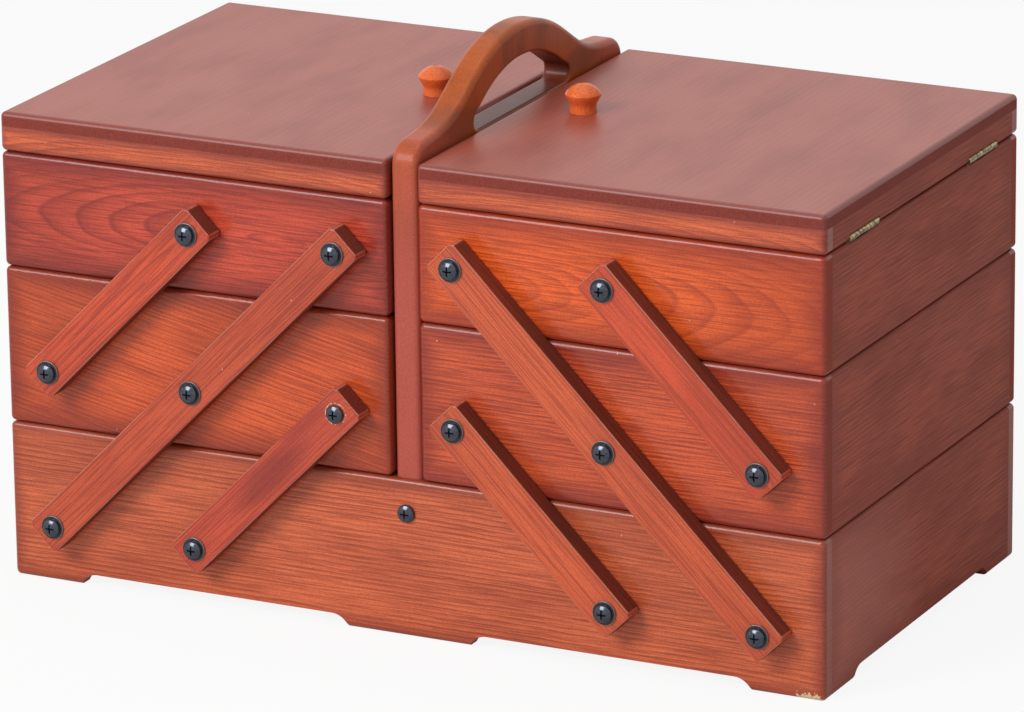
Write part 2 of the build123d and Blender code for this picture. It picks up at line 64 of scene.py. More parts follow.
class Graph:
    """One procedural material and the helpers that add shader nodes to it."""

    def __init__(self, name: str) -> None:
        """Starts an empty material.

        Args:
            name: The material's name.
        """
        self.material = bpy.data.materials.new(name)
        self.material.use_nodes = True
        self.tree = self.material.node_tree
        self.tree.nodes.clear()
        self.output = self.tree.nodes.new("ShaderNodeOutputMaterial")

    def add(self, kind: str, **settings: object) -> bpy.types.Node:
        """Adds a shader node and sets its properties.

        Args:
            kind: The node's type.
            settings: Its properties by name.

        Returns:
            The node.
        """
        made = self.tree.nodes.new(kind)
        for key, value in settings.items():
            setattr(made, key, value)
        return made

    def feed(self, socket: bpy.types.NodeSocket, value: object) -> None:
        """Gives an input socket its link or its constant.

        Args:
            socket: The input socket.
            value: An output socket, a constant, or None to leave the input as it is.
        """
        if value is None:
            return
        if isinstance(value, bpy.types.NodeSocket):
            self.tree.links.new(value, socket)
        else:
            socket.default_value = value

    def math(self, operation: str, *values: object) -> bpy.types.NodeSocket:
        """A Math node.

        Args:
            operation: What it works out.
            values: Sockets or numbers.

        Returns:
            Its value.
        """
        made = self.add("ShaderNodeMath", operation=operation)
        for socket, value in zip(made.inputs, values):
            self.feed(socket, value)
        return made.outputs[0]

    def vector(self, operation: str, *values: object) -> bpy.types.NodeSocket:
        """A Vector Math node.

        Args:
            operation: What it works out.
            values: Sockets or constants, with None for an input left as it is.

        Returns:
            Its number for a dot product or a length, and its vector otherwise.
        """
        made = self.add("ShaderNodeVectorMath", operation=operation)
        for socket, value in zip(made.inputs, values):
            self.feed(socket, value)
        scalar = operation in ("DOT_PRODUCT", "LENGTH")
        return made.outputs["Value"] if scalar else made.outputs["Vector"]

    def scaled(self, where: object, rate: float) -> bpy.types.NodeSocket:
        """A place multiplied by one rate."""
        return self.vector("MULTIPLY", where, (rate, rate, rate))

    def place(self) -> bpy.types.NodeSocket:
        """The point's place in the object's own frame."""
        return self.add("ShaderNodeTexCoord").outputs["Object"]

    def point(self, x: object, y: object, z: object) -> bpy.types.NodeSocket:
        """A vector from its three parts.

        Args:
            x: A socket or number.
            y: A socket or number.
            z: A socket or number.

        Returns:
            The vector.
        """
        made = self.add("ShaderNodeCombineXYZ")
        for socket, value in zip(made.inputs, (x, y, z)):
            self.feed(socket, value)
        return made.outputs[0]

    def blend(self, share: object, first: object, second: object) -> bpy.types.NodeSocket:
        """A colour between two colours.

        Args:
            share: 0 for the first colour, 1 for the second.
            first: The first colour.
            second: The second colour.

        Returns:
            The colour.
        """
        made = self.add("ShaderNodeMix", data_type="RGBA")
        self.feed(made.inputs[0], share)
        self.feed(made.inputs[6], first)
        self.feed(made.inputs[7], second)
        return made.outputs[2]

    def noise(self, where: object, detail: float, rough: float = 0.5) -> bpy.types.NodeSocket:
        """Noise from 0 to 1 whose spots are about one unit of where across.

        Args:
            where: The place to sample, in units of one spot.
            detail: Octaves of finer noise.
            rough: How strong each finer octave is beside the one before it.

        Returns:
            The noise.
        """
        made = self.add("ShaderNodeTexNoise")
        self.feed(made.inputs["Vector"], where)
        made.inputs["Scale"].default_value = 1.0
        made.inputs["Detail"].default_value = detail
        made.inputs["Roughness"].default_value = rough
        return made.outputs["Fac"]

    def step(self, value: object, low: object, high: object) -> bpy.types.NodeSocket:
        """A smooth step: 3t² - 2t³, where t is (value - low) / (high - low), kept in 0 to 1.

        Args:
            value: The value.
            low: Where the step starts at 0.
            high: Where it ends at 1.

        Returns:
            The step.
        """
        made = self.add("ShaderNodeMapRange", interpolation_type="SMOOTHSTEP")
        self.feed(made.inputs["Value"], value)
        self.feed(made.inputs["From Min"], low)
        self.feed(made.inputs["From Max"], high)
        return made.outputs["Result"]

    def span(self, value: object, low: float, high: float) -> bpy.types.NodeSocket:
        """A value from 0 to 1 spread over another range.

        Args:
            value: The value.
            low: What 0 becomes.
            high: What 1 becomes.

        Returns:
            The spread value.
        """
        made = self.add("ShaderNodeMapRange")
        self.feed(made.inputs["Value"], value)
        made.inputs["To Min"].default_value = low
        made.inputs["To Max"].default_value = high
        return made.outputs["Result"]

    def curve(self, value: object, stops: tuple[Span, ...]) -> bpy.types.NodeSocket:
        """A value read off a soft curve.

        Args:
            value: Where to read the curve, 0 to 1.
            stops: The first and last (place, height) of the curve, then those between them.

        Returns:
            The curve's height there.
        """
        made = self.add("ShaderNodeValToRGB")
        ramp = made.color_ramp
        ramp.interpolation = "EASE"
        for index, (place, height) in enumerate(stops):
            stop = ramp.elements[index] if index < 2 else ramp.elements.new(place)
            stop.position = place
            stop.color = (height, height, height, 1.0)
        self.feed(made.inputs["Fac"], value)
        return made.outputs["Color"]

    def bump(self, height: object, depth: float) -> bpy.types.NodeSocket:
        """A normal tilted by a height.

        Args:
            height: The height, 0 to 1.
            depth: What a height of 1 measures.

        Returns:
            The normal.
        """
        made = self.add("ShaderNodeBump")
        made.inputs["Strength"].default_value = 1.0
        made.inputs["Distance"].default_value = depth
        self.feed(made.inputs["Height"], height)
        return made.outputs["Normal"]

    def surface(self, links: dict[str, object], **constants: float) -> bpy.types.Material:
        """Ends the tree in one surface shader.

        Args:
            links: Sockets or values by the name of the shader's input.
            constants: Numbers that are the same all over, by name with _ for a space.

        Returns:
            The finished material.
        """
        shader = self.add("ShaderNodeBsdfPrincipled")
        for name, value in constants.items():
            shader.inputs[name.replace("_", " ")].default_value = value
        for name, value in links.items():
            self.feed(shader.inputs[name], value)
        self.tree.links.new(shader.outputs[0], self.output.inputs["Surface"])
        return self.material


@dataclass(frozen=True)
class Cut:
    """How a board is sawn: along its fibres, across its face, and into its thickness."""

    along: Axis
    across: Axis
    depth: Axis

    def reach(self, node: bpy.types.Object) -> tuple[float, float, float, float]:
        """How far a node reaches along and across the board.

        Args:
            node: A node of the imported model.

        Returns:
            Lowest and highest place along, then lowest and highest place across.
        """
        flat = np.empty(len(node.data.vertices) * 3)
        node.data.vertices.foreach_get("co", flat)
        points = flat.reshape(-1, 3)
        along = points @ np.array(self.along)
        across = points @ np.array(self.across)
        return float(along.min()), float(along.max()), float(across.min()), float(across.max())


class Sawn(Enum):
    """The ways in which the box's boards are sawn."""

    FRONT = Cut((1, 0, 0), (0, 0, 1), (0, 1, 0))
    END = Cut((0, 1, 0), (0, 0, 1), (1, 0, 0))
    LID = Cut((0, 1, 0), (1, 0, 0), (0, 0, 1))
    FLOOR = Cut((1, 0, 0), (0, 1, 0), (0, 0, 1))
    POST = Cut((0, 0, 1), (0, 1, 0), (1, 0, 0))


@dataclass(frozen=True)
class Figure:
    """A board's growth rings: ellipses round the place where the log's heart meets the face."""

    heart_along: float
    heart_across: float
    spacing: float = 2.4 * MM
    tilt: float = 0.02
    slope: float = 0.0
    wander: float = 3.0 * MM
    ripple: float = 0.5 * MM
    seed: float = 0.0


@dataclass(frozen=True)
class Patch:
    """A soft-edged oval on a board that is toned towards another colour.

    With a half depth it keeps to the board's inner layers, as in the painted shade on the sides of
    a hole. Some patches are stains, and some are painted light or painted shade.
    """

    along: float
    across: float
    half_along: float
    half_across: float
    tone: Colour
    amount: float = 0.5
    half_depth: float | None = None


@dataclass(frozen=True)
class Chip:
    """A small place where the lacquer is knocked off and pale bare wood shows."""

    centre: Axis
    size: Axis
    cover: float = 0.5


@dataclass(frozen=True)
class WoodFinish:
    """Stain and lacquer on wood, and how strongly its rings and pores show."""

    light: Colour
    dark: Colour
    rim: Colour
    ring_show: float = 0.7
    pore_show: float = 0.65
    blotch_show: float = 0.3
    rim_width: float = 15.0 * MM
    rim_show: float = 0.75
    roughness: float = 0.3
    specular: float = 0.32
    coat: float = 0.3
    coat_roughness: float = 0.06
    relief: float = 0.06 * MM
    # Colour of pale arris lines, partly wear and partly painted highlight.
    arris: Colour | None = None
    arris_show: float = 0.35
    arris_inset: float = 0.5 * MM
    side: Colour | None = None
    side_rough: float = 0.4


BARE_WOOD = stain(222, 196, 158)


@dataclass(frozen=True)
class Texture:
    """How fine and how strong each texture of the wood is, the same on every board.

    Rates are spots per metre along the fibres, spots per metre across them, and octaves of finer
    noise. A span is the lowest and highest noise of a smooth step, or the range of a factor.
    """

    pores: Rates = (32.0, 1250.0, 3.0)
    blotch: Rates = (14.0, 38.0, 3.0)
    wander: Rates = (7.0, 24.0, 2.0)
    ripple: Rates = (60.0, 130.0, 1.0)
    fading: Rates = (9.0, 60.0, 2.0)
    seed_share: float = 0.37
    tooth_rate: float = 1400.0
    tooth_octaves: float = 1.0
    grit_rate: float = 900.0
    grit_octaves: float = 2.0
    speck_rate: float = 48.0
    speck_radius: float = 0.017
    speck_bare: float = 0.75
    pore_stain: Span = (0.44, 0.63)
    blotch_stain: Span = (0.42, 0.70)
    ring_fading: Span = (0.25, 0.65)
    rim_fading: Span = (0.4, 1.6)
    patch_fading: Span = (0.9, 1.7)
    patch_ragged: float = 0.8
    arris_fading: Span = (0.8, 1.3)
    arris_worn: Span = (0.35, 0.60)
    side_fading: Span = (0.1, 0.3)
    side_streaks: Span = (0.35, 0.65)
    streak_show: float = 0.55
    side_tooth: Span = (0.8, 1.2)
    tooth: Span = (0.72, 1.28)
    pore_depth: float = 0.6
    ring_depth: float = 0.4
    rough_spread: float = 0.12
    chip_ragged: float = 1.6
    chip_cover: float = 0.6
    scar_width: float = 0.25 * MM
    scar_worn: float = 0.5
    ring_profile: tuple[Span, ...] = (
        (0.0, 0.0), (1.0, 0.0), (0.35, 0.12), (0.68, 0.55), (0.86, 1.0)
    )


TEXTURE = Texture()


@dataclass
class Board:
    """One board's wood: its finish, its cut and figure, and the marks on it."""

    name: str
    finish: WoodFinish
    cut: Cut
    figure: Figure
    patches: tuple[Patch, ...] = ()
    chips: tuple[Chip, ...] = ()
    scars: tuple[tuple[float, float, float], ...] = ()

    def dress(self, node: bpy.types.Object) -> None:
        """Puts the board's wood on its node.

        Args:
            node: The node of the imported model.
        """
        give(node, self.wood(node))

    def wood(self, node: bpy.types.Object) -> bpy.types.Material:
        """Makes the wood.

        The ring number is the distance from the log's heart, divided by the ring spacing. That
        distance is the root of (place across)² plus (depth plus tilt times place along)², and
        two noises stretched along the fibres make it wander.

        Args:
            node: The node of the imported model, for its reach.

        Returns:
            The material.
        """
        finish, figure = self.finish, self.figure
        graph = Graph(self.name)
        where = graph.place()
        along = graph.vector("DOT_PRODUCT", where, self.cut.along)
        across = graph.vector("DOT_PRODUCT", where, self.cut.across)
        depth = graph.vector("DOT_PRODUCT", where, self.cut.depth)
        lean = graph.math("MULTIPLY_ADD", along, figure.slope, across)
        grain = (along, lean, depth)
        rings, ring_tone = self.rings(graph, grain)
        pores = self.stretched(graph, grain, TEXTURE.pores)
        blotch = self.stretched(graph, (along, across, depth), TEXTURE.blotch)

        pore_share = graph.math(
            "MULTIPLY", graph.step(pores, *TEXTURE.pore_stain), finish.pore_show
        )
        blotch_share = graph.math(
            "MULTIPLY", graph.step(blotch, *TEXTURE.blotch_stain), finish.blotch_show
        )
        colour = graph.blend(ring_tone, finish.light, finish.dark)
        colour = graph.blend(pore_share, colour, finish.dark)
        colour = graph.blend(blotch_share, colour, finish.rim)
        for patch in self.patches:
            colour = self.toned(graph, colour, patch, (along, across, depth), blotch)
        tooth = graph.noise(graph.scaled(where, TEXTURE.tooth_rate), TEXTURE.tooth_octaves)
        inset = self.inset(graph, node, along, across)
        colour = self.rimmed(graph, colour, inset, blotch)
        coat: object = finish.coat
        sawn: object = 0.0
        if finish.side is not None:
            colour, sawn = self.edged(graph, colour, inset, pores, tooth)
            coat = graph.math("MULTIPLY_ADD", sawn, -finish.coat, finish.coat)
        colour = graph.vector("SCALE", colour, None, None, graph.span(tooth, *TEXTURE.tooth))
        colour, bare = self.marked(graph, colour, where, along, across)
        height = graph.math(
            "MULTIPLY_ADD",
            pores,
            -TEXTURE.pore_depth,
            graph.math("MULTIPLY", rings, -TEXTURE.ring_depth),
        )
        smoothest = finish.roughness - TEXTURE.rough_spread / 2
        rough = graph.math(
            "ADD",
            graph.math("MULTIPLY_ADD", blotch, TEXTURE.rough_spread, smoothest),
            graph.math("MULTIPLY", graph.math("MAXIMUM", bare, sawn), finish.side_rough),
        )
        return graph.surface(
            {
                "Base Color": colour,
                "Roughness": rough,
                "Normal": graph.bump(height, finish.relief),
                "Coat Weight": coat,
            },
            Specular_IOR_Level=finish.specular,
            Coat_Roughness=finish.coat_roughness,
        )

    def stretched(
        self, graph: Graph, place: tuple[object, object, object], rates: Rates
    ) -> bpy.types.NodeSocket:
        """Noise whose spots are longer along the fibres than across them.

        Args:
            graph: The material's graph.
            place: Place along the fibres, across the face and into the board.
            rates: Spots per metre along and across, and octaves of finer noise.

        Returns:
            The noise, 0 to 1.
        """
        along, across, depth = place
        long_rate, wide_rate, octaves = rates
        seed = self.figure.seed
        where = graph.point(
            graph.math("MULTIPLY_ADD", along, long_rate, seed),
            graph.math("MULTIPLY_ADD", across, wide_rate, seed * TEXTURE.seed_share),
            graph.math("MULTIPLY", depth, wide_rate),
        )
        return graph.noise(where, octaves)

    def rings(
        self, graph: Graph, place: tuple[object, object, object]
    ) -> tuple[bpy.types.NodeSocket, bpy.types.NodeSocket]:
        """The growth rings.

        Args:
            graph: The material's graph.
            place: Place along the fibres, across the face and into the board.

        Returns:
            The rings' profile from 0 to 1, and that profile as a share of the dark stain.
        """
        figure = self.figure
        along, across, _ = place
        wander = self.stretched(graph, place, TEXTURE.wander)
        ripple = self.stretched(graph, place, TEXTURE.ripple)
        beside = graph.math("SUBTRACT", across, figure.heart_across)
        beside = graph.math("MULTIPLY_ADD", wander, 2 * figure.wander, beside)
        beside = graph.math("MULTIPLY_ADD", ripple, 2 * figure.ripple, beside)
        below = graph.math("SUBTRACT", along, figure.heart_along)
        below = graph.math("MULTIPLY", below, figure.tilt)
        below = graph.math("MULTIPLY_ADD", wander, figure.wander, below)
        distance = graph.vector("LENGTH", graph.point(beside, below, 0.0))
        turns = graph.math("DIVIDE", distance, figure.spacing)
        profile = graph.curve(graph.math("FRACT", turns), TEXTURE.ring_profile)
        fading = self.stretched(graph, place, TEXTURE.fading)
        shown = graph.math(
            "MULTIPLY", graph.step(fading, *TEXTURE.ring_fading), self.finish.ring_show
        )
        return profile, graph.math("MULTIPLY", profile, shown)

    def inset(
        self, graph: Graph, node: bpy.types.Object, along: object, across: object
    ) -> bpy.types.NodeSocket:
        """How far a point lies inside the nearest of the board's four edges.

        Args:
            graph: The material's graph.
            node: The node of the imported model.
            along: Place along the fibres.
            across: Place across the face.

        Returns:
            The distance in metres.
        """
        low_a, high_a, low_c, high_c = self.cut.reach(node)
        ends = graph.math(
            "MINIMUM",
            graph.math("SUBTRACT", along, low_a),
            graph.math("SUBTRACT", high_a, along),
        )
        sides = graph.math(
            "MINIMUM",
            graph.math("SUBTRACT", across, low_c),
            graph.math("SUBTRACT", high_c, across),
        )
        return graph.math("MINIMUM", ends, sides)

    def rimmed(
        self, graph: Graph, colour: object, inset: object, blotch: object
    ) -> bpy.types.NodeSocket:
        """The colour with darker stain along the board's edges.

        Args:
            graph: The material's graph.
            colour: The colour so far.
            inset: Distance from the nearest edge.
            blotch: Noise from 0 to 1.

        Returns:
            The colour with its rim.
        """
        finish = self.finish
        low, high = TEXTURE.rim_fading
        ragged = graph.math("MULTIPLY_ADD", blotch, finish.rim_width, inset)
        inside = graph.step(ragged, finish.rim_width * low, finish.rim_width * high)
        rim = graph.math("SUBTRACT", 1.0, inside)
        return graph.blend(graph.math("MULTIPLY", rim, finish.rim_show), colour, finish.rim)

    def toned(
        self,
        graph: Graph,
        colour: object,
        patch: Patch,
        place: tuple[object, object, object],
        blotch: object,
    ) -> bpy.types.NodeSocket:
        """The colour with one patch on it, whose oval's edge the blotches make ragged.

        Args:
            graph: The material's graph.
            colour: The colour so far.
            patch: The patch.
            place: Place along the fibres, across the face and into the board.
            blotch: Noise from 0 to 1.

        Returns:
            The colour with the patch.
        """
        along, across, depth = place
        off = graph.point(
            graph.math("SUBTRACT", along, patch.along),
            graph.math("SUBTRACT", across, patch.across),
            0.0,
        )
        size = (patch.half_along, patch.half_across, 1.0)
        oval = graph.vector("LENGTH", graph.vector("DIVIDE", off, size))
        ragged = graph.math("MULTIPLY_ADD", blotch, TEXTURE.patch_ragged, oval)
        share = graph.math("SUBTRACT", 1.0, graph.step(ragged, *TEXTURE.patch_fading))
        if patch.half_depth is not None:
            inner = graph.math("LESS_THAN", graph.math("ABSOLUTE", depth), patch.half_depth)
            share = graph.math("MULTIPLY", share, inner)
        return graph.blend(graph.math("MULTIPLY", share, patch.amount), colour, patch.tone)

    def edged(
        self, graph: Graph, colour: object, inset: object, pores: object, tooth: object
    ) -> tuple[bpy.types.NodeSocket, bpy.types.NodeSocket]:
        """The colour with pale arris lines and dark sawn sides.

        Args:
            graph: The material's graph.
            colour: The colour so far.
            inset: Distance from the nearest edge.
            pores: The pores' noise from 0 to 1.
            tooth: Fine noise from 0 to 1.

        Returns:
            The colour, and a share that is 1 on the sawn sides.
        """
        finish = self.finish
        # Pale arris lines: partly wear, partly a painted highlight along the edges.
        if finish.arris is not None:
            low, high = TEXTURE.arris_fading
            past = graph.step(inset, finish.arris_inset * low, finish.arris_inset * high)
            line = graph.math("SUBTRACT", 1.0, past)
            worn = graph.math("MULTIPLY", line, graph.step(pores, *TEXTURE.arris_worn))
            colour = graph.blend(
                graph.math("MULTIPLY", worn, finish.arris_show), colour, finish.arris
            )
        low, high = TEXTURE.side_fading
        past = graph.step(inset, finish.arris_inset * low, finish.arris_inset * high)
        side = graph.math("SUBTRACT", 1.0, past)
        streak = graph.math(
            "MULTIPLY", graph.step(pores, *TEXTURE.side_streaks), TEXTURE.streak_show
        )
        sawn = graph.blend(streak, finish.side, finish.dark)
        sawn = graph.vector("SCALE", sawn, None, None, graph.span(tooth, *TEXTURE.side_tooth))
        return graph.blend(side, colour, sawn), side

    def marked(
        self, graph: Graph, colour: object, where: object, along: object, across: object
    ) -> tuple[bpy.types.NodeSocket, bpy.types.NodeSocket]:
        """The colour with dust specks, chips and washer scars.

        A chip is where the length of (place less its centre, divided by its size), plus noise, is
        under its limit. A scar is a thin ring round a pivot, broken up by the same noise.

        Args:
            graph: The material's graph.
            colour: The colour so far.
            where: The point's place.
            along: Place along the fibres.
            across: Place across the face.

        Returns:
            The colour, and how bare the wood is.
        """
        cells = graph.add("ShaderNodeTexVoronoi", feature="F1")
        cells.inputs["Scale"].default_value = TEXTURE.speck_rate
        cells.inputs["Randomness"].default_value = 1.0
        graph.feed(cells.inputs["Vector"], where)
        speck = graph.math("LESS_THAN", cells.outputs["Distance"], TEXTURE.speck_radius)
        bare = graph.math("MULTIPLY", speck, TEXTURE.speck_bare)
        grit = graph.noise(graph.scaled(where, TEXTURE.grit_rate), TEXTURE.grit_octaves)
        for chip in self.chips:
            off = graph.vector("SUBTRACT", where, chip.centre)
            far = graph.vector("LENGTH", graph.vector("DIVIDE", off, chip.size))
            ragged = graph.math("MULTIPLY_ADD", grit, TEXTURE.chip_ragged, far)
            gone = graph.math("LESS_THAN", ragged, 1.0 + TEXTURE.chip_cover * chip.cover)
            bare = graph.math("MAXIMUM", bare, gone)
        for place_along, place_across, radius in self.scars:
            off = graph.point(
                graph.math("SUBTRACT", along, place_along),
                graph.math("SUBTRACT", across, place_across),
                0.0,
            )
            beside = graph.math(
                "ABSOLUTE", graph.math("SUBTRACT", graph.vector("LENGTH", off), radius)
            )
            ring = graph.math("LESS_THAN", beside, TEXTURE.scar_width)
            worn = graph.math("GREATER_THAN", grit, TEXTURE.scar_worn)
            bare = graph.math("MAXIMUM", bare, graph.math("MULTIPLY", ring, worn))
        return graph.blend(bare, colour, BARE_WOOD), bare


def give(node: bpy.types.Object, material: bpy.types.Material) -> None:
    """Puts one material in every slot of a node.

    Args:
        node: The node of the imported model.
        material: Its new material.
    """
    if not node.material_slots:
        node.data.materials.append(material)
    for slot in node.material_slots:
        slot.material = material
    LOG.info("dressed %s", node.name)


class Finishes:
    """The stains and lacquers of the box's parts."""

    FRONT_SIDE = stain(138, 58, 38)
    LEFT_TOP = WoodFinish(
        stain(218, 84, 58), stain(136, 40, 30), stain(112, 32, 30), 0.72, side=FRONT_SIDE
    )
    RIGHT_TOP = WoodFinish(
        stain(242, 104, 42), stain(168, 56, 26), stain(138, 42, 30), 0.62, side=FRONT_SIDE
    )
    LEFT_MID = WoodFinish(
        stain(232, 100, 50), stain(156, 54, 26), stain(120, 36, 28), 0.72, side=FRONT_SIDE
    )
    RIGHT_MID = WoodFinish(
        stain(226, 98, 54), stain(142, 46, 34), stain(124, 38, 34), 0.85, side=FRONT_SIDE
    )
    BASE = WoodFinish(
        stain(224, 112, 70), stain(152, 62, 38), stain(134, 50, 36), 0.9, rim_width=9 * MM
    )
    END = WoodFinish(
        stain(182, 84, 58),
        stain(120, 48, 36),
        stain(118, 44, 34),
        0.6,
        blotch_show=0.4,
        rim_show=0.35,
        roughness=0.5,
        specular=0.2,
        coat=0.0,
    )
    LID = WoodFinish(
        stain(166, 76, 56),
        stain(118, 44, 34),
        stain(112, 38, 32),
        0.25,
        pore_show=0.15,
        roughness=0.42,
        specular=0.5,
        coat=0.15,
        coat_roughness=0.24,
        rim_width=4 * MM,
        side=stain(132, 50, 36),
    )
    LID_RAIL = WoodFinish(
        stain(232, 112, 64), stain(156, 60, 42), stain(124, 46, 42), 0.75, rim_width=6 * MM
    )
    ARM = WoodFinish(
        stain(220, 100, 58),
        stain(160, 60, 36),
        stain(150, 52, 40),
        0.55,
        rim_width=2.0 * MM,
        rim_show=0.4,
        # Pale arris lines, partly wear and partly painted highlight.
        arris=stain(232, 176, 144),
        side=stain(98, 46, 32),
    )
    LEFT_ARM = replace(ARM, light=stain(204, 86, 52), dark=stain(148, 52, 34))
    HANDLE = WoodFinish(
        stain(186, 90, 36),
        stain(142, 64, 28),
        stain(84, 42, 24),
        0.15,
        pore_show=0.2,
        blotch_show=0.55,
        rim_show=0.0,
        roughness=0.36,
        specular=0.18,
        coat=0.06,
    )
    KNOB = WoodFinish(
        stain(236, 118, 60),
        stain(212, 92, 46),
        stain(176, 70, 38),
        0.3,
        rim_show=0.0,
        roughness=0.3,
        specular=0.16,
        coat=0.12,
        coat_roughness=0.05,
    )
    PLYWOOD = WoodFinish(
        stain(206, 160, 112), stain(182, 134, 90), stain(160, 112, 78), 0.5, coat=0.0
    )


@dataclass(frozen=True)
class ScrewFinish:
    """Black plating on a screw's head, and duller plating on its washer, with a painted highlight
    at the washer's rim.
    """

    head_dark: Colour = stain(48, 51, 58)
    head_light: Colour = stain(96, 101, 112)
    washer_dark: Colour = stain(40, 42, 46)
    washer_light: Colour = stain(74, 76, 82)
    # Colour of the painted highlight at the washer's outer rim.
    worn: Colour = stain(150, 150, 150)
    worn_show: float = 0.7
    grime_rate: float = 900.0
    grime_octaves: float = 3.0
    grime_roughness: float = 0.10
    roughness: Span = (0.10, 0.30)
    metal: Span = (0.75, 0.6)
    specular: float = 0.3
    relief: float = 0.03 * MM


@dataclass(frozen=True)
class BrassFinish:
    """Brass gone dull and olive, darker where grime has settled."""

    clean: Colour = stain(184, 168, 122)
    grimy: Colour = stain(92, 78, 52)
    grime_rate: float = 420.0
    grime_octaves: float = 4.0
    grime_detail: float = 0.6
    grime_stain: Span = (0.38, 0.66)
    scratch_rates: Axis = (300.0, 4000.0, 300.0)
    scratch_octaves: float = 2.0
    roughness: Span = (0.25, 0.55)
    metal: float = 0.9
    relief: float = 0.02 * MM


@dataclass
class Fastenings:
    """The black pivot screws and their washers, and the aged brass hinges."""

    screws: ScrewFinish = ScrewFinish()
    hinges: BrassFinish = BrassFinish()
    pivot_inset: float = 31.5 * MM
    pivot_step: float = 79.5 * MM
    pivot_height: float = 32.5 * MM
    tier_step: float = 80.0 * MM
    head_radius: float = 4.6 * MM
    washer_radius: float = 6.0 * MM
    head_edge: float = 1.04
    worn_from: float = 0.93
    rim_highlight_to: float = 0.99
    plain_half: float = 8.0 * MM

    def black(self) -> bpy.types.Material:
        """The screws' black, and the washers' grey beyond the head's radius.

        The handle's screw, near x = 0, has no washer and is black all over. The distance from
        the nearest pivot is the length of (|x| and z, each less the first pivot's place, wrapped
        to the pivots' spacing).

        Returns:
            The material.
        """
        finish = self.screws
        graph = Graph("black_screw")
        where = graph.place()
        parts = graph.add("ShaderNodeSeparateXYZ")
        graph.feed(parts.inputs[0], where)
        beside = self.wrapped(
            graph, graph.math("ABSOLUTE", parts.outputs[0]), self.pivot_inset, self.pivot_step
        )
        above = self.wrapped(graph, parts.outputs[2], self.pivot_height, self.tier_step)
        radius = graph.vector("LENGTH", graph.point(beside, above, 0.0))
        middle = graph.math(
            "LESS_THAN", graph.math("ABSOLUTE", parts.outputs[0]), self.plain_half
        )
        radius = graph.math("MULTIPLY", radius, graph.math("SUBTRACT", 1.0, middle))
        washer = graph.step(radius, self.head_radius, self.head_radius * self.head_edge)
        # Painted highlight: a light grey ring at the washer's outer rim.
        rim = graph.step(
            radius, self.washer_radius * self.worn_from, self.washer_radius * self.rim_highlight_to
        )
        grime = graph.noise(graph.scaled(where, finish.grime_rate), finish.grime_octaves)
        black = graph.blend(grime, finish.head_dark, finish.head_light)
        grey = graph.blend(grime, finish.washer_dark, finish.washer_light)
        colour = graph.blend(washer, black, grey)
        colour = graph.blend(graph.math("MULTIPLY", rim, finish.worn_show), colour, finish.worn)
        rough = graph.math(
            "ADD",
            graph.span(washer, *finish.roughness),
            graph.span(grime, 0.0, finish.grime_roughness),
        )
        return graph.surface(
            {
                "Base Color": colour,
                "Roughness": rough,
                "Metallic": graph.span(washer, *finish.metal),
                "Normal": graph.bump(grime, finish.relief),
            },
            Specular_IOR_Level=finish.specular,
        )

    def wrapped(
        self, graph: Graph, value: object, first: float, step: float
    ) -> bpy.types.NodeSocket:
        """The signed distance from the nearest of evenly spaced places.

        Args:
            graph: The material's graph.
            value: A place.
            first: The first of the spaced places.
            step: The spacing.

        Returns:
            The distance.
        """
        made = graph.add("ShaderNodeMath", operation="WRAP")
        graph.feed(made.inputs[0], graph.math("SUBTRACT", value, first))
        made.inputs[1].default_value = step / 2
        made.inputs[2].default_value = -step / 2
        return made.outputs[0]

    def brass(self) -> bpy.types.Material:
        """The hinges' brass, with grime and fine scratches.

        Returns:
            The material.
        """
        finish = self.hinges
        graph = Graph("aged_brass")
        where = graph.place()
        grime = graph.noise(
            graph.scaled(where, finish.grime_rate), finish.grime_octaves, finish.grime_detail
        )
        scratch = graph.noise(
            graph.vector("MULTIPLY", where, finish.scratch_rates), finish.scratch_octaves
        )
        colour = graph.blend(graph.step(grime, *finish.grime_stain), finish.clean, finish.grimy)
        return graph.surface(
            {
                "Base Color": colour,
                "Roughness": graph.span(grime, *finish.roughness),
                "Normal": graph.bump(scratch, finish.relief),
            },
            Metallic=finish.metal,
        )

    def dress(self, nodes: dict[str, bpy.types.Object]) -> set[str]:
        """Dresses every screw, washer and hinge part.

        Args:
            nodes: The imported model's nodes by name.

        Returns:
            The names of the dressed nodes.
        """
        black, brass = self.black(), self.brass()
        dressed: set[str] = set()
        for name, node in nodes.items():
            if name.endswith("screws_and_washers"):
                give(node, black)
            elif "hinge" in name:
                give(node, brass)
            else:
                continue
            dressed.add(name)
        return dressed


NUMBERED_PER_SIDE = 12
SEED_PER_NUMBER = 5.3
STRAIGHT_RINGS = Figure(-300 * MM, -120 * MM, 2.4 * MM, tilt=0.03)


class Side(Enum):
    """The two sides of the box, as the direction in which each one opens."""

    LEFT = -1
    RIGHT = 1

    @property
    def word(self) -> str:
        """The word that starts the names of this side's nodes."""
        return self.name.lower()

    @property
    def shift(self) -> int:
        """What this side's boards add to their numbers, which set their noise."""
        return 0 if self is Side.LEFT else NUMBERED_PER_SIDE


class Face(Enum):
    """The two long faces of the box, and what each adds to its arms' noise."""

    FRONT = 0.0
    BACK = 17.0


def straight(
    across: float, number: int, spacing: float = STRAIGHT_RINGS.spacing
) -> Figure:
    """Nearly straight rings, as in a board sawn far from the heart.

    Args:
        across: Place across the board that the rings are nearly parallel to.
        number: The board's number, which sets its noise.
        spacing: Distance between rings.

    Returns:
        The figure.
    """
    heart = across + STRAIGHT_RINGS.heart_across
    seed = number * SEED_PER_NUMBER
    return replace(STRAIGHT_RINGS, heart_across=heart, spacing=spacing, seed=seed)


